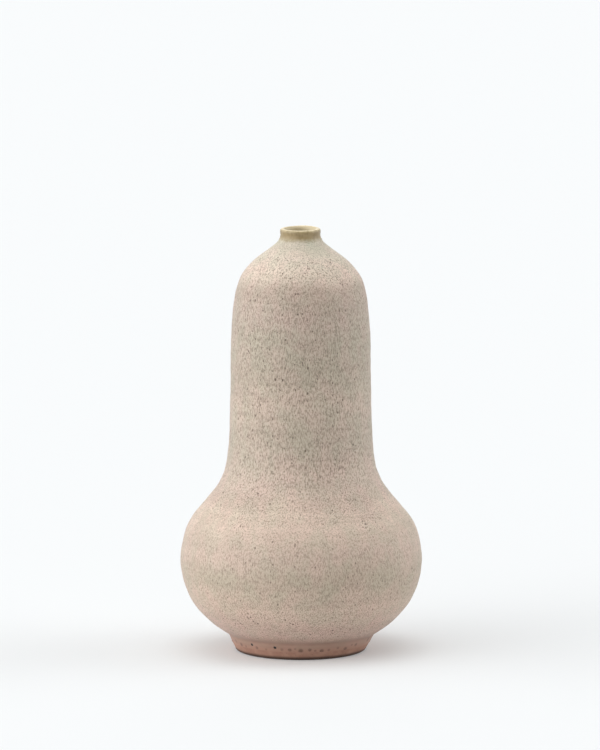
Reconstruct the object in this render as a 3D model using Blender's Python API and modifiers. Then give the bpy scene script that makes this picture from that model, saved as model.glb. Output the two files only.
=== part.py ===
"""A gourd-shaped bud vase of thrown stoneware, with a matte glaze outside and a liner glaze inside.

The clay is made the way a potter builds a closed form of this height: a foot ring luted under the
lower section, an upper section keyed onto its rim, and a collar set on top. The two glazes are the
coats that cover them. Every piece is turned about the Z axis, and the vase stands on Z = 0.
"""

import math

import bpy
import numpy as np

MM = 0.001  # the sizes below are millimetres

# Driving dimensions
HEIGHT = 200.0  # standing face to the crest of the lip
FOOT_RADIUS = 29.4  # outer edge of the standing face
FOOT_HEIGHT = 8.3  # standing face to the crease under the belly
CREASE_RADIUS = 34.7
BELLY_RADIUS = 56.7
BELLY_HEIGHT = 45.0
COLUMN_RADIUS = 32.9
COLLAR_RADIUS = 9.5
MOUTH_RADIUS = 6.8
FLOOR_TOP = 14.8  # the inside of the floor, on the axis

# Layers, from each visible surface into the wall
GLAZE = 0.6
LINER = 0.5
BOND = 0.3  # the film of slip in a joint, and the bond line under a glaze

# Where the clay sections and the coats end
GLAZE_LINE = 4.5  # the glaze stops above the bare foot
FOOT_JOINT = 8.3
WAIST_JOINT = 88.0
COLLAR_JOINT = 195.0
WELL_RADIUS = 23.0  # the hollow inside the foot ring
STANDING_FACE = 4.6  # its width
KEY_HEIGHT = 0.9  # the V ridge that locks two luted rims
KEY_WIDTH = 2.4

# Facets
SIDES = 56
OUTSIDE_TURN = math.radians(16)  # how far an outline turns from one ring of facets to the next
HOLLOW_TURN = math.radians(23)
LIP_TURN = math.radians(30)

# Outlines as (radius, height) stations, from the bottom up. The body's and the hollow's run on a
# little past the collar joint, where the pieces are cut off square.
FOOT_SIDE = (
    (FOOT_RADIUS, 0.0),
    (30.3, 0.7),
    (31.75, 3.0),
    (33.05, 5.4),
    (33.9, 7.1),
    (CREASE_RADIUS, FOOT_HEIGHT),
)
BODY_SIDE = (
    (CREASE_RADIUS, FOOT_HEIGHT),
    (37.3, 10.0),
    (42.8, 14.0),
    (50.2, 22.0),
    (55.25, 33.0),
    (BELLY_RADIUS, BELLY_HEIGHT),
    (54.3, 57.0),
    (51.2, 63.0),
    (47.1, 68.1),
    (39.2, 78.0),
    (35.3, 87.0),
    (33.8, 98.0),
    (COLUMN_RADIUS, 125.0),
    (32.5, 150.0),
    (31.1, 166.0),
    (28.0, 177.0),
    (21.3, 185.0),
    (14.05, 190.5),
    (11.15, 193.0),
    (9.75, COLLAR_JOINT),
    (9.35, COLLAR_JOINT + 1.5),
)
COLLAR_SIDE = (
    (9.75, COLLAR_JOINT),
    (9.35, 196.8),
    (COLLAR_RADIUS, 198.7),
    (9.35, 199.5),
    (8.9, 199.9),
    (8.2, HEIGHT),
    (7.5, 199.8),
    (7.0, 199.1),
    (MOUTH_RADIUS, 197.4),
    (MOUTH_RADIUS, COLLAR_JOINT),
)
HOLLOW_SIDE = (
    (0.0, FLOOR_TOP),
    (24.0, FLOOR_TOP + 0.2),
    (36.0, 18.0),
    (44.8, 25.0),
    (49.8, 34.5),
    (51.3, 45.0),
    (49.2, 55.5),
    (42.8, 65.0),
    (34.6, 76.0),
    (30.4, 86.5),
    (28.6, 98.0),
    (27.9, 125.0),
    (27.5, 150.0),
    (26.2, 163.5),
    (23.3, 173.0),
    (17.6, 180.6),
    (11.7, 185.6),
    (8.2, 189.0),
    (7.0, 192.3),
    (MOUTH_RADIUS, COLLAR_JOINT),
    (MOUTH_RADIUS, COLLAR_JOINT + 1.5),
)


def between(p, q, start, end, t):
    """The point at t on the line that is at p when t is start and at q when t is end."""
    return ((end - t) * p + (t - start) * q) / (end - start)


def smooth(stations, turn):
    """A centripetal Catmull-Rom curve through the stations, with a point each time it turns."""
    knots = np.array(stations, float)
    before, after = 2 * knots[0] - knots[1], 2 * knots[-1] - knots[-2]
    knots = np.vstack([before, knots, after])
    curve = [knots[1]]
    for p0, p1, p2, p3 in zip(knots, knots[1:], knots[2:], knots[3:]):
        t1 = math.sqrt(math.dist(p0, p1))
        t2 = t1 + math.sqrt(math.dist(p1, p2))
        t3 = t2 + math.sqrt(math.dist(p2, p3))
        (ax, ay), (bx, by) = p2 - p0, p3 - p1
        turned = abs(math.atan2(ax * by - ay * bx, ax * bx + ay * by))
        for t in np.linspace(t1, t2, 1 + math.ceil(turned / turn))[1:]:
            a1 = between(p0, p1, 0.0, t1, t)
            a2 = between(p1, p2, t1, t2, t)
            a3 = between(p2, p3, t2, t3, t)
            b1 = between(a1, a2, 0.0, t2, t)
            b2 = between(a2, a3, t1, t3, t)
            curve.append(between(b1, b2, t1, t2, t))
    return np.array(curve)


def inset(curve, depth):
    """The curve moved to its left by depth, each point along the middle of its two sides' normals."""
    along = np.diff(curve, axis=0)
    normals = np.stack([-along[:, 1], along[:, 0]], 1)
    normals /= np.linalg.norm(normals, axis=1)[:, None]
    first, last = np.vstack([normals[:1], normals]), np.vstack([normals, normals[-1:]])
    middle = first + last
    middle /= (middle * first).sum(1)[:, None]
    moved = curve + depth * middle
    moved[:, 0] = np.where(curve[:, 0] == 0.0, 0.0, moved[:, 0])  # the axis stays the axis
    return moved


def height_range(curve, low, high):
    """The stretch of a rising curve from one height to another, cut where it crosses them."""
    inside = curve[(curve[:, 1] > low) & (curve[:, 1] < high)]
    if low > curve[0, 1]:
        inside = np.vstack([[np.interp(low, curve[:, 1], curve[:, 0]), low], inside])
    else:
        inside = np.vstack([curve[:1], inside])
    if high < curve[-1, 1]:
        return np.vstack([inside, [np.interp(high, curve[:, 1], curve[:, 0]), high]])
    return np.vstack([inside, curve[-1:]])


def key(inner, outer, height):
    """The V ridge across a luted rim, from its inner edge to its outer one."""
    middle = (inner + outer) / 2
    half = KEY_WIDTH / 2
    return [(middle - half, height), (middle, height + KEY_HEIGHT), (middle + half, height)]


def clay(name, colour, roughness):
    material = bpy.data.materials.new(name)
    material.use_nodes = True
    shader = material.node_tree.nodes["Principled BSDF"]
    shader.inputs["Base Color"].default_value = (*colour, 1.0)
    shader.inputs["Roughness"].default_value = roughness
    shader.inputs["Metallic"].default_value = 0.0
    material.diffuse_color = (*colour, 1.0)
    return material


def turned(name, section, material, collection):
    """One solid of revolution. The section runs down its outer side and back up its inner one."""
    closed = section[0][0] > 0.0
    count = len(section)
    edges = [(i, i + 1) for i in range(count - 1)] + ([(count - 1, 0)] if closed else [])
    mesh = bpy.data.meshes.new(name)
    mesh.from_pydata([(r * MM, 0.0, z * MM) for r, z in section], edges, [])
    mesh.materials.append(material)
    piece = bpy.data.objects.new(name, mesh)
    collection.objects.link(piece)
    screw = piece.modifiers.new("Turned", "SCREW")
    screw.axis = "Z"
    screw.steps = SIDES
    screw.render_steps = SIDES
    screw.use_merge_vertices = True
    screw.merge_threshold = 0.00001
    screw.use_smooth_shade = True
    return piece


def foot_ring(outside):
    """The turned ring that the vase stands on, glazed only above the glaze line."""
    bare = height_range(outside, 0.0, GLAZE_LINE - BOND)
    top = FOOT_JOINT - BOND / 2
    glazed = height_range(inset(outside, GLAZE + BOND), GLAZE_LINE - BOND, top)
    well_edge = FOOT_RADIUS - STANDING_FACE
    well = [(well_edge, 0.0), (well_edge - 0.9, 0.8), (WELL_RADIUS, top)]
    seat = key(WELL_RADIUS, glazed[-1][0], top)
    return [*glazed[::-1], *bare[::-1], *well, *seat]


def lower_section(outside, hollow):
    """The belly with its floor: grooved below for the foot ring, and above for the upper section."""
    base, rim = FOOT_JOINT + BOND / 2, WAIST_JOINT - BOND / 2
    outer = height_range(inset(outside, GLAZE + BOND), base, rim)
    inner = height_range(inset(hollow, -(LINER + BOND)), 0.0, rim)
    groove = key(WELL_RADIUS, outer[0][0], base)
    rim_key = key(inner[-1][0], outer[-1][0], rim)
    groove_above = [(r, 2 * rim - z) for r, z in rim_key]
    return [*inner, *groove_above, *outer[::-1], *groove[::-1], (0.0, base)]


def upper_section(outside, hollow):
    """The column and its dome, whose rim carries the collar."""
    foot, top = WAIST_JOINT + BOND / 2, COLLAR_JOINT - BOND
    outer = height_range(inset(outside, GLAZE + BOND), foot, top)
    inner = height_range(inset(hollow, -(LINER + BOND)), foot, top)
    ridge = [(r, 2 * foot - z) for r, z in key(inner[0][0], outer[0][0], foot)]
    return [*outer[::-1], *ridge[::-1], *inner]


def collar():
    """The short neck that the stem goes through, with its rounded lip."""
    return smooth(COLLAR_SIDE, LIP_TURN)[::-1]


def outer_glaze(outside):
    """The matte coat, from the glaze line on the foot up to the collar."""
    low, high = GLAZE_LINE, COLLAR_JOINT - BOND
    face = height_range(outside, low, high)
    back = height_range(inset(outside, GLAZE), low, high)
    return [*face[::-1], *back]


def liner_glaze(hollow):
    """The coat that makes the inside hold water, from the floor up to the collar."""
    face = height_range(hollow, 0.0, COLLAR_JOINT - BOND)
    back = height_range(inset(hollow, -LINER), 0.0, COLLAR_JOINT - BOND)
    return [*face, *back[::-1]]


def main():
    for old in list(bpy.data.objects):
        bpy.data.objects.remove(old)
    vase = bpy.data.collections.new("bud_vase")
    bpy.context.scene.collection.children.link(vase)

    foot, body = smooth(FOOT_SIDE, OUTSIDE_TURN), smooth(BODY_SIDE, OUTSIDE_TURN)
    outside = np.vstack([foot, body[1:]])
    hollow = smooth(HOLLOW_SIDE, HOLLOW_TURN)

    stoneware = clay("stoneware", (0.42, 0.33, 0.25), 0.85)
    bare_clay = clay("bare_clay", (0.50, 0.29, 0.21), 0.80)
    rim_glaze = clay("rim_glaze", (0.38, 0.31, 0.18), 0.45)
    matte_glaze = clay("matte_glaze", (0.62, 0.52, 0.44), 0.60)
    liner = clay("liner_glaze", (0.46, 0.40, 0.26), 0.35)

    turned("foot_ring", foot_ring(outside), bare_clay, vase)
    turned("lower_section", lower_section(outside, hollow), stoneware, vase)
    turned("upper_section", upper_section(outside, hollow), stoneware, vase)
    turned("collar", collar(), rim_glaze, vase)
    turned("outer_glaze", outer_glaze(outside), matte_glaze, vase)
    turned("liner_glaze", liner_glaze(hollow), liner, vase)


main()
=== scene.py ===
"""The looks of the thrown stoneware bud vase: each CAD piece is turned again at full smoothness, with
the small unevenness of hand work, and gets a procedural clay or glaze."""

import math
import random

import bpy
import numpy as np
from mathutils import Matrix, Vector

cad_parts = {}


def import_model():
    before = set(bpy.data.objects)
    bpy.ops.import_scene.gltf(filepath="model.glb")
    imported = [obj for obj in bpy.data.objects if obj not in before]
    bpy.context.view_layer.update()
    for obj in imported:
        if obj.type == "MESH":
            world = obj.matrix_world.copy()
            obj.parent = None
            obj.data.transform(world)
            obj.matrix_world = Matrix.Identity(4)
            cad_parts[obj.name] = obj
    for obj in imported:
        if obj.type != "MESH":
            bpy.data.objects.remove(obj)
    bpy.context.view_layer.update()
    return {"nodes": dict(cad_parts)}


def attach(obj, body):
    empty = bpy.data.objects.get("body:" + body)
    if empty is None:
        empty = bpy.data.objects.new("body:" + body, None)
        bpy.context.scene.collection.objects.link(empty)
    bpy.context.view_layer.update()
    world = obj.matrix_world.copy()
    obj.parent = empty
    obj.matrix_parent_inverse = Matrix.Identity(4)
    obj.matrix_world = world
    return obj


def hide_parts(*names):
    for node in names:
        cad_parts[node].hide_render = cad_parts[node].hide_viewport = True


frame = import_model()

MM = 0.001
SHARP = 38.0  # an outline that turns more than this many degrees at a point has an edge there
SEAM = 0.31  # a coat's end reaches this many mm further, just over the CAD's gap for the bond


# ---------------------------------------------------------------- shape

def outline(node):
    """The CAD node's section, in mm, as (radius, height) points in order. An open one ends on the axis."""
    mesh = frame["nodes"][node].data
    points, index, at = [], {}, {}
    for v in mesh.vertices:
        x, y, z = v.co
        if x > -1e-6 and abs(y) < 1e-6:
            key = (round(x / MM, 3), round(z / MM, 3))
            if key not in index:
                index[key] = len(points)
                points.append(key)
            at[v.index] = index[key]
    joined = {i: set() for i in range(len(points))}
    for edge in mesh.edges:
        a, b = (at.get(i) for i in edge.vertices)
        if a is not None and b is not None and a != b:
            joined[a].add(b)
            joined[b].add(a)
    ends = [i for i in joined if len(joined[i]) == 1]
    on_axis = [i for i in ends if points[i][0] < 0.001]
    order = [(on_axis or ends or [0])[0]]
    while True:
        ahead = [i for i in joined[order[-1]] if i not in order]
        if not ahead:
            break
        order.append(ahead[0])
    curve = np.array([points[i] for i in order], float)
    if ends and curve[-1, 0] > 0.001:
        curve = np.vstack([curve, [0.0, curve[-1, 1]]])
    return curve


def catmull(p0, p1, p2, p3, count):
    """Points on the centripetal curve from p1 to p2, without p2."""
    t1 = math.sqrt(math.dist(p0, p1))
    t2 = t1 + math.sqrt(math.dist(p1, p2))
    t3 = t2 + math.sqrt(math.dist(p2, p3))
    t = np.linspace(t1, t2, count, endpoint=False)[:, None]
    a1 = ((t1 - t) * p0 + t * p1) / t1
    a2 = ((t2 - t) * p1 + (t - t1) * p2) / (t2 - t1)
    a3 = ((t3 - t) * p2 + (t - t2) * p3) / (t3 - t2)
    b1 = ((t2 - t) * a1 + t * a2) / t2
    b2 = ((t3 - t) * a2 + (t - t1) * a3) / (t3 - t1)
    return ((t2 - t) * b1 + (t - t1) * b2) / (t2 - t1)


def refined(curve, fine, coarse, closed, corner):
    """The outline with a point about every fine millimetres where it faces out and every coarse ones
    where it faces in. It curves from point to point, and is sharp where it turns more than corner."""
    if closed:
        before, after = np.roll(curve, 1, 0), np.roll(curve, -1, 0)
    else:
        before = np.vstack([2 * curve[0] - curve[1], curve[:-1]])
        after = np.vstack([curve[1:], 2 * curve[-1] - curve[-2]])
    u, v = curve - before, after - curve
    turn = np.abs(np.arctan2(u[:, 0] * v[:, 1] - u[:, 1] * v[:, 0], (u * v).sum(1)))
    sharp = turn > math.radians(corner)
    area = (curve[:, 0] * np.roll(curve[:, 1], -1) - np.roll(curve[:, 0], -1) * curve[:, 1]).sum()
    points = []
    for i in range(len(curve) if closed else len(curve) - 1):
        j = (i + 1) % len(curve)
        p1, p2 = curve[i], curve[j]
        p0 = 2 * p1 - p2 if sharp[i] else before[i]
        p3 = 2 * p2 - p1 if sharp[j] else after[j]
        step = fine if (p2[1] - p1[1]) * area > 0 else coarse
        points.append(catmull(p0, p1, p2, p3, max(1, round(math.dist(p1, p2) / step))))
    if not closed:
        points.append(curve[-1:])
    return np.vstack(points)


# How far the wall leans to the right of the axis, seen from the front, as (height, lean) in mm
LEAN = (
    (0.0, 0.0),
    (3.0, 0.15),
    (6.0, 0.36),
    (12.0, 0.48),
    (20.0, 0.33),
    (32.0, 0.25),
    (48.0, 0.32),
    (62.0, 0.27),
    (76.0, 0.12),
    (130.0, 0.04),
    (172.0, 0.04),
    (190.0, -0.05),
    (200.0, -0.17),
)


FINE_RING = 0.035  # how far the throwing rings stand out, in mm
BROAD_RING = 0.05
OUT_OF_ROUND = 0.0012  # as a share of the radius
RIM_TILT = 0.06  # mm
RIM_HUMP = 0.28
HUMP_AT = 2.88  # radians round from the front, so it is at the back and to the right
HUMP_WIDTH = 0.18


def share(value, start, end):
    """0 at start and 1 at end, straight between them and level beyond."""
    return np.clip((value - start) / (end - start), 0.0, 1.0)


def unevenness(points):
    """What the hand leaves: a lean, a form not quite round, faint throwing rings, a rim not quite level."""
    x, y, z = points.T
    around = np.arctan2(x, -y)
    radius = np.hypot(x, y)
    heights, leans = zip(*LEAN)
    lean = np.mean([np.interp(z + shift, heights, leans) for shift in (-3, -1.5, 0, 1.5, 3)], 0)
    lean = lean * share(z, 0.0, 2.0)
    above_foot = share(z, 0.0, 12.0)
    wall = above_foot * share(z, 192.0, 182.0) * share(radius, 0.0, 20.0)
    rings = FINE_RING * np.sin(z * 0.83 + around + 1.2 * np.sin(z * 0.11 + 2.0 * around))
    rings += BROAD_RING * np.sin(z * 0.27 - around + 0.7)
    squash = OUT_OF_ROUND * np.cos(2 * around + 0.9 + z / 70) * above_foot
    grow = 1 + squash + rings * wall / np.maximum(radius, 1.0)
    x, y = x * grow + lean, y * grow
    hump = np.exp((np.cos(around - HUMP_AT) - 1.0) / HUMP_WIDTH)
    drop = RIM_TILT * (np.cos(around - 2.3) - 1.0) + RIM_HUMP * (hump - 1.0)
    z = z + share(z, 191.0, 200.0) * drop
    return np.stack([x, y, z], 1)


def turned(name, node, fine, coarse, sides, corner=SHARP, fit=None):
    """The CAD node's section turned into a smooth closed piece that stands for it."""
    curve = outline(node)
    closed = curve[0, 0] > 0.001
    if fit:
        curve = fit(curve)
    curve = refined(curve, fine, coarse, closed, corner)
    rings = curve if closed else curve[1:-1]
    angle = np.arange(sides) * 2 * math.pi / sides
    points = np.empty((len(rings), sides, 3))
    points[:, :, 0] = rings[:, None, 0] * np.cos(angle)
    points[:, :, 1] = rings[:, None, 0] * np.sin(angle)
    points[:, :, 2] = rings[:, None, 1]
    points = points.reshape(-1, 3)
    faces = []
    last = len(rings) if closed else len(rings) - 1
    for i in range(last):
        a, b = i * sides, (i + 1) % len(rings) * sides
        for k in range(sides):
            m = (k + 1) % sides
            faces.append((a + k, a + m, b + m, b + k))
    if not closed:
        bottom, top = len(points), len(points) + 1
        points = np.vstack([points, [0.0, 0.0, curve[0, 1]], [0.0, 0.0, curve[-1, 1]]])
        end = (len(rings) - 1) * sides
        for k in range(sides):
            m = (k + 1) % sides
            faces.append((bottom, m, k))
            faces.append((top, end + k, end + m))
    mesh = bpy.data.meshes.new(name)
    mesh.from_pydata((unevenness(points) * MM).tolist(), [], faces)
    piece = bpy.data.objects.new(name, mesh)
    bpy.context.scene.collection.objects.link(piece)
    # A closed mesh whose faces look inwards has a negative volume.
    if sum(f.normal.dot(f.center) * f.area for f in mesh.polygons) < 0:
        mesh.flip_normals()
    mesh.shade_smooth()
    mesh.set_sharp_from_angle(angle=math.radians(corner))
    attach(piece, "root")
    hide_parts(node)
    return piece


# ---------------------------------------------------------------- materials

class Nodes:
    """A material's node tree, with its coordinates in millimetres."""

    def __init__(self, name):
        self.material = bpy.data.materials.new(name)
        self.material.use_nodes = True
        self.tree = self.material.node_tree
        self.shader = self.tree.nodes["Principled BSDF"]
        where = self.tree.nodes.new("ShaderNodeTexCoord").outputs["Object"]
        self.mm = self.scaled(where, (1000.0, 1000.0, 1000.0))

    def put(self, socket, value):
        if isinstance(value, bpy.types.NodeSocket):
            self.tree.links.new(value, socket)
        elif isinstance(value, tuple) and socket.type == "RGBA":
            socket.default_value = (*value, 1.0)
        else:
            socket.default_value = value

    def add(self, kind, inputs, **settings):
        node = self.tree.nodes.new("ShaderNode" + kind)
        for key, value in settings.items():
            setattr(node, key, value)
        for key, value in inputs.items():
            self.put(node.inputs[key], value)
        return node

    def scaled(self, vector, by):
        return self.add("VectorMath", {0: vector, 1: by}, operation="MULTIPLY").outputs[0]

    def math(self, operation, a, b):
        return self.add("Math", {0: a, 1: b}, operation=operation).outputs[0]

    def plus(self, a, b):
        return self.math("ADD", a, b)

    def minus(self, a, b):
        return self.math("SUBTRACT", a, b)

    def times(self, a, b):
        return self.math("MULTIPLY", a, b)

    def swing(self, noise, reach):
        """A noise moved to lie about 0, and swinging by reach in all."""
        return self.times(self.minus(noise, 0.5), reach)

    def height(self):
        return self.add("SeparateXYZ", {0: self.mm}).outputs["Z"]

    def noise(self, per_mm, rough=0.5, detail=2.0):
        """Noise with this many features per mm along X, Y and Z."""
        where = self.scaled(self.mm, per_mm)
        inputs = {"Vector": where, "Scale": 1.0, "Detail": detail, "Roughness": rough}
        return self.add("TexNoise", inputs).outputs["Fac"]

    def cells(self, per_mm):
        """(distance to the nearest cell centre, two random numbers of that cell's)"""
        made = self.add("TexVoronoi", {"Vector": self.scaled(self.mm, per_mm), "Scale": 1.0})
        kind = self.add("SeparateColor", {0: made.outputs["Color"]})
        return made.outputs["Distance"], kind.outputs[0], kind.outputs[1]

    def ramp(self, value, low, high, to_low=0.0, to_high=1.0):
        """A smooth step from low to high."""
        inputs = {0: value, 1: low, 2: high, 3: to_low, 4: to_high}
        return self.add("MapRange", inputs, interpolation_type="SMOOTHSTEP").outputs[0]

    def curve(self, value, stops):
        """A colour from (height in mm, colour) stops."""
        bottom, top = stops[0][0], stops[-1][0]
        along = self.add("MapRange", {0: value, 1: bottom, 2: top}).outputs[0]
        node = self.add("ValToRGB", {0: along})
        ramp = node.color_ramp
        ramp.interpolation = "EASE"
        for place, colour in stops[1:-1]:
            ramp.elements.new((place - bottom) / (top - bottom)).color = (*colour, 1.0)
        ramp.elements[0].color = (*stops[0][1], 1.0)
        ramp.elements[-1].color = (*stops[-1][1], 1.0)
        return node.outputs["Color"]

    def mix(self, amount, a, b, blend="MIX"):
        made = self.add("Mix", {}, data_type="RGBA", blend_type=blend)
        self.put(made.inputs["Factor"], amount)
        self.put([s for s in made.inputs if s.name == "A" and s.type == "RGBA"][0], a)
        self.put([s for s in made.inputs if s.name == "B" and s.type == "RGBA"][0], b)
        return [s for s in made.outputs if s.type == "RGBA"][0]

    def tinted(self, colour, by):
        return self.mix(1.0, colour, by, "MULTIPLY")

    def finish(self, colour, roughness, relief, deep):
        """Sets the shader, with a relief that is deep mm at 1. Returns the material."""
        bump = self.add("Bump", {"Height": relief, "Distance": deep * MM, "Strength": 1.0})
        self.put(self.shader.inputs["Base Color"], colour)
        self.put(self.shader.inputs["Roughness"], roughness)
        self.put(self.shader.inputs["Normal"], bump.outputs["Normal"])
        return self.material


def srgb(red, green, blue):
    """The linear colour of an 8-bit screen one."""
    return tuple(
        c / 12.92 if c <= 0.04045 else ((c + 0.055) / 1.055) ** 2.4
        for c in (red / 255, green / 255, blue / 255)
    )


# The glaze by height in mm: pink where it is thin, grey-green where it is thick
SKIN = (
    (0.0, srgb(168, 130, 114)),
    (4.5, srgb(165, 129, 112)),
    (8.0, srgb(169, 138, 121)),
    (14.0, srgb(184, 159, 144)),
    (26.0, srgb(190, 169, 152)),
    (39.0, srgb(177, 161, 143)),
    (52.0, srgb(187, 168, 152)),
    (66.0, srgb(202, 183, 166)),
    (82.0, srgb(187, 168, 153)),
    (102.0, srgb(172, 158, 142)),
    (120.0, srgb(178, 162, 146)),
    (133.0, srgb(169, 155, 139)),
    (147.0, srgb(168, 155, 139)),
    (162.0, srgb(173, 156, 142)),
    (172.0, srgb(172, 155, 140)),
    (181.0, srgb(203, 185, 169)),
    (189.0, srgb(210, 197, 180)),
    (194.5, srgb(194, 187, 169)),
)
# The rim by height in mm, where the glaze runs thin over iron in the clay, with its crest painted pale as a
# highlight
KHAKI = (
    (192.0, srgb(170, 156, 122)),
    (195.0, srgb(154, 138, 103)),
    (196.2, srgb(143, 125, 89)),
    (198.6, srgb(143, 125, 89)),
    (199.2, srgb(170, 154, 118)),
    # the top two stops are a painted highlight along the lip's crest
    (199.6, srgb(224, 209, 172)),
    (200.0, srgb(244, 232, 202)),
)
SPECK = srgb(74, 54, 40)
# The band under the crease is darker: pooled glaze, and painted shade of the crease
POOL_AND_CREASE_SHADE = srgb(130, 98, 82)
THIN_GLAZE = srgb(157, 120, 102)
IRON = srgb(82, 60, 48)
# Painted shade inside the pinholes, which are only a bump in the surface
PINHOLE_SHADE = srgb(22, 14, 10)
LIP_INSIDE = srgb(206, 191, 156)
GRIT = srgb(110, 78, 60)
# The standing edge's dark colour: dirt, and painted shade of the contact line
DIRT_AND_SHADE = srgb(56, 38, 28)

# What multiplies the skin's colour, as linear red, green and blue
PALE_STREAK = (1.155, 1.16, 1.175)
DARK_STREAK = (0.57, 0.55, 0.52)
GREENER = (0.955, 0.99, 0.97)
PINKER = (1.03, 1.0, 1.01)
DARK_BAND = (0.965, 0.965, 0.96)
PALE_BAND = (1.025, 1.025, 1.03)
PALE_KHAKI = (1.1, 1.1, 1.11)
DARK_KHAKI = (0.86, 0.84, 0.78)

# How many features per mm a noise has along X, Y and Z
UPRIGHT_RUNS = (2.2, 2.2, 0.62)
LYING_RUNS = (1.45, 1.45, 0.9)
FINE_RUNS = (4.6, 4.6, 1.7)
WANDER = (0.055, 0.055, 0.03)
PATCHES = (0.16, 0.16, 0.07)
DRIFTS = (0.13, 0.13, 0.091)
BANDS = (0.012, 0.012, 0.45)
STAINS = (0.5, 0.5, 0.22)
SPECKS = (0.86, 0.86, 0.55)
SAND = (1.9, 1.9, 1.9)
CLAY_CLOUDS = (0.16, 0.16, 0.16)
GRITS = (0.9, 0.9, 0.9)
LINER_CLOUDS = (0.25, 0.25, 0.25)
LINER_RIPPLES = (0.6, 0.6, 0.6)

# The heights in mm between which something comes in, or goes out where they run down
SHOULDER = (166.0, 182.0)
NECK = (184.0, 192.0)
BELLY_BOTTOM = (20.0, 32.0)
BELLY_TOP = (72.0, 60.0)
WANDER_FROM = (10.0, 32.0)
WANDER_TO = (188.0, 158.0)
STREAKS_FROM = (8.2, 12.5)
# the darker band under the crease: pooled glaze, and painted shade of the crease
POOL_AND_SHADE_FROM = (6.8, 8.0)
POOL_AND_SHADE_TO = (10.2, 8.6)
GLAZE_ENDS = (6.2, 4.4)
KHAKI_FROM = (193.4, 196.2)
GLOSS_FROM = (194.0, 197.0)
RELIEF_TO = (196.0, 193.0)
# the darker standing edge: dirt, and painted shade of the contact line
DIRT_AND_SHADE_TO = (2.6, 1.1)

# Small marks on the foot, by azimuth in degrees from the front, height and radius in mm: two pinholes
# in the glaze, then the iron spots where the glaze ends, which have a strength as well
PINHOLES = ((-43.5, 6.4, 0.66), (-21.6, 6.2, 0.66))
IRON_SPOTS = (
    (-39.0, 5.2, 0.8, 0.65),
    (-30.0, 4.9, 0.6, 0.4),
    (-16.0, 5.4, 0.7, 0.5),
    (-9.4, 5.4, 0.9, 0.7),
    (-5.0, 5.9, 0.5, 0.45),
    (-0.4, 5.0, 1.1, 0.8),
    (6.9, 5.4, 0.8, 0.75),
    (11.5, 4.9, 0.6, 0.5),
    (17.0, 4.7, 1.0, 0.8),
    (23.0, 5.0, 0.7, 0.55),
    (31.0, 5.6, 0.7, 0.5),
    (39.0, 4.7, 1.0, 0.8),
    (45.0, 6.2, 0.6, 0.55),
    (50.0, 5.9, 0.9, 0.7),
    (67.5, 6.8, 1.1, 0.8),
)


FOOT_SIDE = ((0.0, 29.4), (3.0, 31.75), (5.4, 33.05), (7.1, 33.9))  # (height, radius)


def foot_place(azimuth, height):
    """A point on the side of the foot, in mm."""
    radius = float(np.interp(height, *zip(*FOOT_SIDE)))
    lean = float(np.interp(height, *zip(*LEAN)))
    a = math.radians(azimuth)
    return (radius * math.sin(a) + lean, -radius * math.cos(a), height)


def around_the_back():
    """The iron spots go on all round the foot."""
    draw = random.Random(7)
    azimuth = 84.0
    spots = []
    while azimuth < 312.0:
        spots.append((azimuth, draw.uniform(4.6, 6.4), draw.uniform(0.5, 1.1), draw.uniform(0.45, 0.8)))
        azimuth += draw.uniform(5.0, 13.0)
    return tuple(spots)


def marks(m, spots, soft):
    """How strongly a point of the surface is covered by round marks, from 0 to 1."""
    cover = 0.0
    for azimuth, height, radius, strength in spots:
        place = foot_place(azimuth, height)
        gap = m.add("VectorMath", {0: m.mm, 1: place}, operation="DISTANCE").outputs["Value"]
        mark = m.ramp(gap, radius * (1 + soft), radius * (1 - soft), 0.0, strength)
        cover = m.math("MAXIMUM", mark, cover)
    return cover


def skin_colour(m, h, runs):
    """The glaze's colour by height, with the level wandering, drifts of two hues and faint bands."""
    loose = m.times(m.ramp(h, *WANDER_TO, 0.12, 1.0), m.ramp(h, *WANDER_FROM, 0.15, 1.0))
    shift = m.plus(m.swing(m.noise(WANDER), 24.0), m.swing(runs, 8.0))
    skin = m.curve(m.plus(h, m.times(shift, loose)), SKIN)
    drift = m.ramp(m.noise(DRIFTS), 0.35, 0.65)
    skin = m.tinted(skin, m.mix(drift, GREENER, PINKER))
    band = m.ramp(m.noise(BANDS), 0.35, 0.65)
    return m.tinted(skin, m.mix(band, DARK_BAND, PALE_BAND))


def specks(m, patch, shown):
    """How strongly a point is covered by an iron speck. Some patches have more of them."""
    gap, bigness, strength = m.cells(SPECKS)
    size = m.times(bigness, m.ramp(patch, 0.35, 0.7, 0.2, 0.4))
    return m.times(m.ramp(m.minus(gap, size), 0.09, -0.05), m.times(strength, shown))


def foot_glaze(m, h, colour, patch, fine):
    """The glaze pools under the crease and is darkened there, partly as painted shade of the crease; it
    thins away over the bare clay and is marked by iron.
    """
    pool_and_shade = m.times(m.ramp(h, *POOL_AND_SHADE_FROM), m.ramp(h, *POOL_AND_SHADE_TO))
    # the band under the crease is darkened: pooled glaze, and painted shade of the crease
    colour = m.mix(m.times(pool_and_shade, m.ramp(patch, 0.3, 0.7, 0.15, 0.4)), colour, POOL_AND_CREASE_SHADE)
    thin = m.ramp(m.plus(h, m.swing(fine, 2.2)), *GLAZE_ENDS)
    colour = m.mix(thin, colour, THIN_GLAZE)
    spots = marks(m, IRON_SPOTS + around_the_back(), 0.55)
    return m.mix(m.times(spots, m.ramp(fine, 0.35, 0.62, 0.45, 1.0)), colour, IRON)


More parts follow.
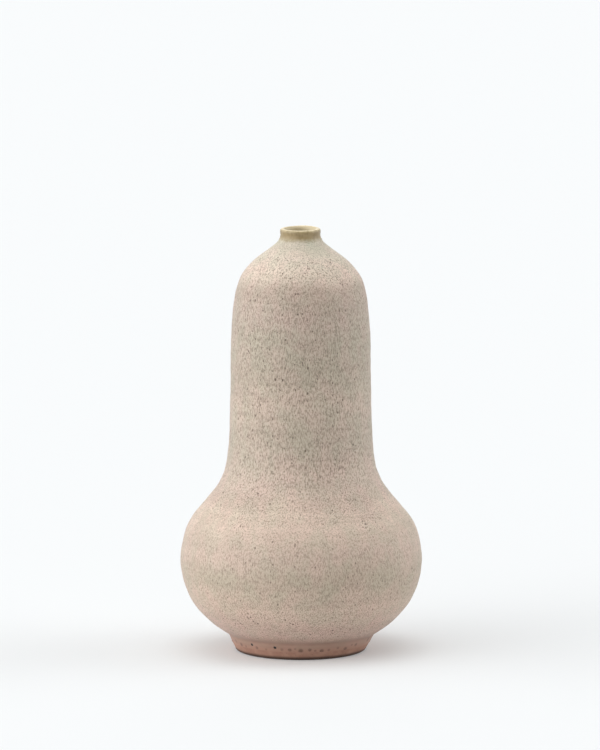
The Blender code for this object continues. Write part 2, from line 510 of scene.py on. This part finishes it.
def rim_glaze(m, h, colour, patch, runs):
    """The khaki of the collar starts at a ragged edge, and is paler inside the mouth."""
    edge = m.plus(m.plus(h, m.swing(patch, 1.2)), m.swing(runs, 1.4))
    stain = m.ramp(m.noise(STAINS, 0.6), 0.38, 0.62)
    # the pale top of the KHAKI curve is a painted highlight on the lip's crest
    khaki = m.tinted(m.curve(h, KHAKI), m.mix(stain, PALE_KHAKI, DARK_KHAKI))
    colour = m.mix(m.ramp(edge, *KHAKI_FROM), colour, khaki)
    level = m.scaled(m.mm, (1.0, 1.0, 0.0))
    from_axis = m.add("VectorMath", {0: level}, operation="LENGTH").outputs["Value"]
    return m.mix(m.ramp(from_axis, 7.9, 7.1), colour, LIP_INSIDE)


def matte_glaze(name):
    m = Nodes(name)
    h = m.height()
    # Runs are long where the wall is upright and become dots where it lies flat.
    runs = m.mix(m.ramp(h, *SHOULDER), m.noise(UPRIGHT_RUNS, 0.6), m.noise(LYING_RUNS, 0.6))
    fine = m.noise(FINE_RUNS, 0.6)
    patch = m.noise(PATCHES, 0.55)
    skin = skin_colour(m, h, runs)
    # The coat breaks into pale and dark streaks above the foot, less round the belly and the neck.
    coat = m.ramp(m.plus(h, m.swing(patch, 5.0)), *STREAKS_FROM)
    belly = m.times(m.ramp(h, *BELLY_BOTTOM, 0.0, 0.28), m.ramp(h, *BELLY_TOP))
    calm = m.math("MAXIMUM", belly, m.ramp(h, *NECK, 0.0, 0.5))
    shown = m.times(coat, m.minus(1.0, calm))
    mottle = m.plus(m.times(runs, 0.62), m.times(fine, 0.38))
    streak = m.times(m.minus(m.ramp(mottle, 0.455, 0.605), 0.5), shown)
    colour = m.mix(m.plus(streak, 0.5), m.tinted(skin, PALE_STREAK), m.tinted(skin, DARK_STREAK))
    speck = specks(m, patch, shown)
    colour = m.mix(m.times(speck, 0.9), colour, SPECK)
    colour = foot_glaze(m, h, colour, patch, fine)
    holes = marks(m, tuple((*hole, 1.0) for hole in PINHOLES), 0.3)
    # the pinholes are painted dark as the shade inside them
    colour = m.mix(holes, colour, PINHOLE_SHADE)
    colour = rim_glaze(m, h, colour, patch, runs)
    relief = m.times(m.minus(mottle, m.times(speck, 0.7)), m.times(coat, m.ramp(h, *RELIEF_TO)))
    relief = m.minus(relief, m.times(holes, 2.0))
    m.put(m.shader.inputs["Sheen Weight"], 0.12)
    m.put(m.shader.inputs["Sheen Roughness"], 0.45)
    return m.finish(colour, m.ramp(h, *GLOSS_FROM, 0.66, 0.42), relief, 0.16)


def bare_clay(name, light, dark, grit_share):
    """Sandy fired clay. The edge that the vase stands on is darker, with dirt from use and painted shade of
    the contact gap under it.
    """
    m = Nodes(name)
    sand = m.noise(SAND, 0.6, 3.0)
    colour = m.mix(m.ramp(m.noise(CLAY_CLOUDS), 0.35, 0.65), dark, light)
    colour = m.mix(m.ramp(sand, 0.35, 0.7, 0.0, 0.25), colour, dark)
    gap, bigness, _ = m.cells(GRITS)
    grit = m.ramp(m.minus(gap, m.times(bigness, 0.22)), 0.08, -0.03, 0.0, grit_share)
    colour = m.mix(grit, colour, GRIT)
    # darker towards the standing edge: dirt, and painted shade of the contact gap under the edge
    dirt_and_shade = m.ramp(m.plus(m.height(), m.times(sand, 0.5)), *DIRT_AND_SHADE_TO, 0.0, 0.92)
    colour = m.mix(dirt_and_shade, colour, DIRT_AND_SHADE)
    return m.finish(colour, m.ramp(sand, 0.3, 0.7, 0.74, 0.9), sand, 0.10)


def liner_glaze():
    m = Nodes("liner_glaze")
    cloud = m.noise(LINER_CLOUDS)
    colour = m.mix(cloud, srgb(206, 190, 154), srgb(188, 172, 134))
    return m.finish(colour, m.ramp(cloud, 0.3, 0.7, 0.34, 0.44), m.noise(LINER_RIPPLES), 0.1)


# ---------------------------------------------------------------- the vase

def closed_seams(curve):
    """The coat reaches down onto the bare clay and up to the collar, over the bond's gap."""
    low, high = curve[:, 1].min(), curve[:, 1].max()
    lowest, highest = curve[:, 1] < low + 0.01, curve[:, 1] > high - 0.01
    curve = curve.copy()
    curve[lowest, 1] -= SEAM
    curve[highest, 1] += SEAM
    return curve


WORN_EDGE = ((31.0, 1.6), (30.6, 0.75), (30.05, 0.27), (29.5, 0.05), (28.9, 0.0))  # (radius, height)


def worn_edge(curve):
    """The foot's outer edge is rounded over, where the CAD has a chamfer."""
    edge = int(np.argmax(np.where(curve[:, 1] < 0.01, curve[:, 0], 0.0)))
    if curve[edge - 1, 1] < 0.01:
        return np.vstack([curve[:edge], WORN_EDGE[::-1], curve[edge + 2:]])
    return np.vstack([curve[:edge - 1], WORN_EDGE, curve[edge + 1:]])


def closed_seams_inside(curve):
    """The liner reaches up to the collar."""
    curve = curve.copy()
    curve[curve[:, 1] > curve[:, 1].max() - 0.01, 1] += SEAM
    return curve


outer = turned("outer_glaze_coat", "outer_glaze", 0.8, 3.0, 240, fit=closed_seams)
rim = turned("collar_and_lip", "collar", 0.22, 0.4, 160)
foot = turned("turned_foot_ring", "foot_ring", 0.4, 0.8, 240, corner=30.0, fit=worn_edge)
lower = turned("lower_clay_section", "lower_section", 2.5, 2.5, 120)
upper = turned("upper_clay_section", "upper_section", 2.5, 2.5, 120)
liner = turned("liner_glaze_coat", "liner_glaze", 3.0, 2.0, 160, fit=closed_seams_inside)

stoneware = bare_clay("clay_body", srgb(196, 160, 136), srgb(176, 142, 120), 0.25)
for piece, material, slot in (
    (outer, matte_glaze("matte_glaze"), "matte_glaze"),
    (rim, matte_glaze("rim_glaze"), "rim_glaze"),
    (foot, bare_clay("foot_clay", srgb(164, 127, 109), srgb(150, 112, 95), 0.4), "bare_clay"),
    (lower, stoneware, "stoneware"),
    (upper, stoneware, "stoneware"),
    (liner, liner_glaze(), "liner_glaze"),
):
    piece.data.materials.append(material)


# ---------------------------------------------------------------- studio

FLOOR_SIZE = 40.0  # metres
FLOOR_COLOUR = (0.69, 0.712, 0.722)
GLOW_COLOUR = (1.0, 0.975, 0.965)
GLOW = 0.175


def floor():
    """A pale sweep that glows a little, as backlit white acrylic does."""
    mesh = bpy.data.meshes.new("floor")
    edge = [-FLOOR_SIZE / 2, FLOOR_SIZE / 2]
    mesh.from_pydata([(x, y, 0.0) for y in edge for x in edge], [], [(0, 1, 3, 2)])
    piece = bpy.data.objects.new("floor", mesh)
    bpy.context.scene.collection.objects.link(piece)
    m = Nodes("floor")
    m.put(m.shader.inputs["Base Color"], FLOOR_COLOUR)
    m.put(m.shader.inputs["Roughness"], 1.0)
    m.put(m.shader.inputs["Specular IOR Level"], 0.0)
    m.put(m.shader.inputs["Emission Color"], GLOW_COLOUR)
    m.put(m.shader.inputs["Emission Strength"], GLOW)
    piece.data.materials.append(m.material)


# The studio as soft lobes of light, as (azimuth, elevation, strength). Azimuth 0 is the camera's side
# and 90 is to its right.
LIGHTS = (
    (-60.0, 8.0, 4.75),
    (-105.0, 8.0, 2.65),
    (96.0, 10.0, 4.0),
    (180.0, 8.0, 1.5),
    (0.0, 38.0, 0.55),
    (0.0, 90.0, 2.4),
)
NARROWING = 8.0  # the power of the cosine that a lobe falls off by
BACKDROP = 0.96


def world():
    made = bpy.data.worlds.new("studio")
    made.use_nodes = True
    tree = made.node_tree
    background = tree.nodes["Background"]

    def math_node(operation, a, b):
        node = tree.nodes.new("ShaderNodeMath")
        node.operation = operation
        for socket, value in zip(node.inputs, (a, b)):
            if isinstance(value, float):
                socket.default_value = value
            else:
                tree.links.new(value, socket)
        return node.outputs[0]

    direction = tree.nodes.new("ShaderNodeTexCoord").outputs["Generated"]
    total = 0.0
    for azimuth, elevation, strength in LIGHTS:
        a, e = math.radians(azimuth), math.radians(elevation)
        dot = tree.nodes.new("ShaderNodeVectorMath")
        dot.operation = "DOT_PRODUCT"
        tree.links.new(direction, dot.inputs[0])
        dot.inputs[1].default_value = (math.sin(a) * math.cos(e), -math.cos(a) * math.cos(e), math.sin(e))
        lobe = math_node("POWER", math_node("MAXIMUM", dot.outputs["Value"], 0.0), NARROWING)
        total = math_node("ADD", math_node("MULTIPLY", lobe, strength), total)
    # Past the floor, the camera sees a plain backdrop.
    seen = tree.nodes.new("ShaderNodeLightPath").outputs["Is Camera Ray"]
    backdrop = tree.nodes.new("ShaderNodeMix")
    tree.links.new(seen, backdrop.inputs["Factor"])
    tree.links.new(total, backdrop.inputs["A"])
    backdrop.inputs["B"].default_value = BACKDROP
    tree.links.new(backdrop.outputs["Result"], background.inputs["Strength"])
    background.inputs["Color"].default_value = (1.0, 1.0, 1.0, 1.0)
    bpy.context.scene.world = made


# The camera, in metres, with its lens and sensor in mm
EYE = (-0.0003, -3.9937, 0.7258)
AIM = (-0.0003, 0.0, 0.13033)
LENS = 413.67
SENSOR = 36.0


def camera():
    made = bpy.data.cameras.new("camera")
    made.lens = LENS
    made.sensor_width = SENSOR
    made.clip_end = 60.0
    eye = bpy.data.objects.new("camera", made)
    eye.location = EYE
    eye.rotation_mode = "QUATERNION"
    eye.rotation_quaternion = (Vector(AIM) - eye.location).to_track_quat("-Z", "Y")
    bpy.context.scene.collection.objects.link(eye)
    bpy.context.scene.camera = eye


floor()
world()
camera()
bpy.context.scene.view_settings.view_transform = "Standard"
